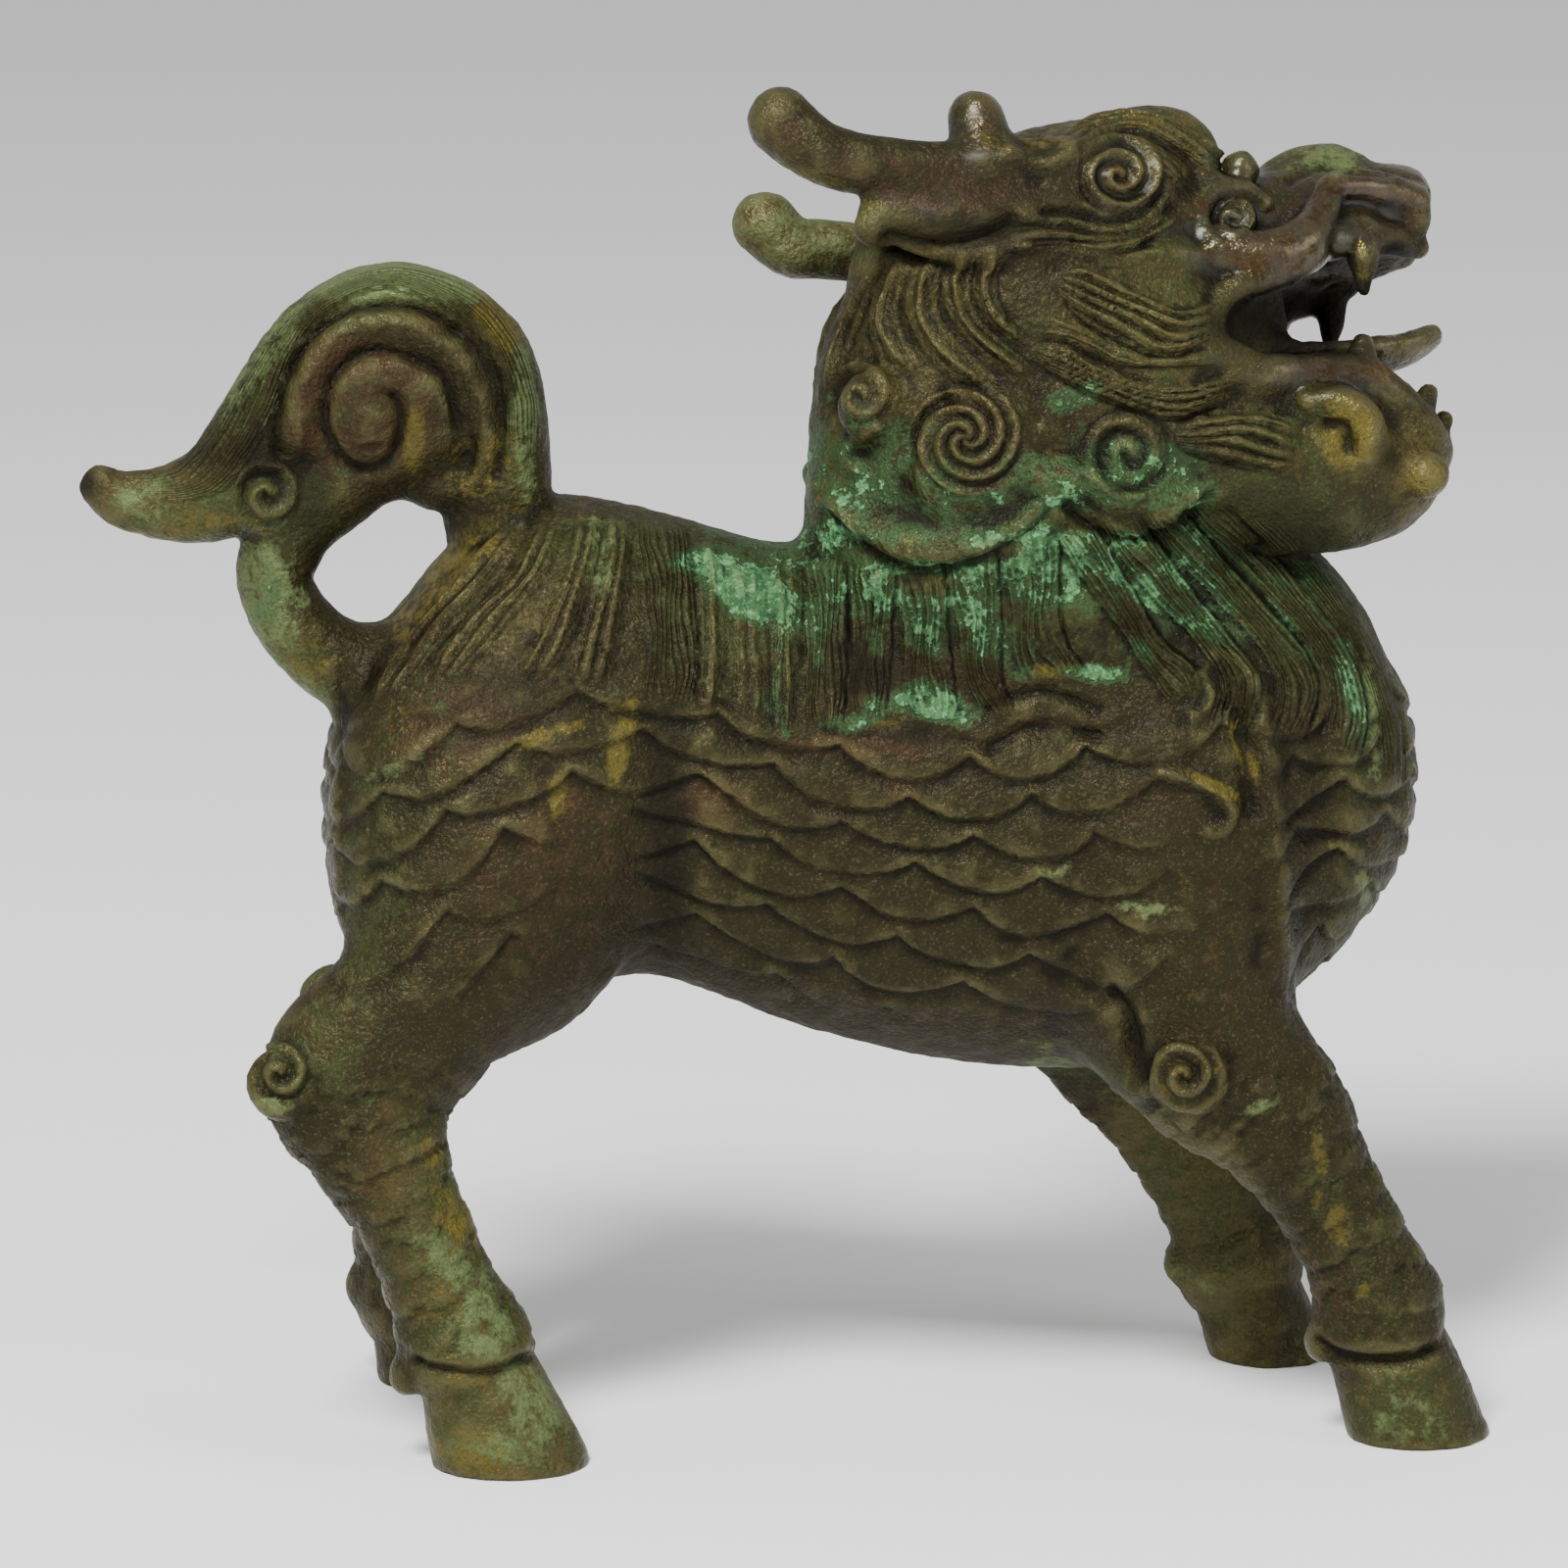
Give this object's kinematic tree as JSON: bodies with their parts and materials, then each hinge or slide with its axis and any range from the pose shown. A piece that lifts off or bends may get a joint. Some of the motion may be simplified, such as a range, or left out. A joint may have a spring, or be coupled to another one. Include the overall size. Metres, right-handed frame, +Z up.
{
  "type": "suanni figurine",
  "caption": "One-piece cast bronze figurine of a striding horned, scaled suanni, head raised with open mouth, curled mane and scroll tail, standing on its hooves.",
  "frame": {"origin": "middle of the bounding box at the level of the hoof soles", "axes": "+X the way the beast strides and its chest faces, +Y to its left, +Z up; Y is across the body and is the shortest side"},
  "size_m": [0.129, 0.0424, 0.1259],
  "materials": {
    "patinated_bronze": "cast bronze with a dark olive brown patina, rubbed brighter on the high points, verdigris round the neck, mane, back and tail, and a few yellow and reddish spots"
  },
  "bodies": {
    "root": {"figurine": "patinated_bronze"}
  },
  "joints": []
}
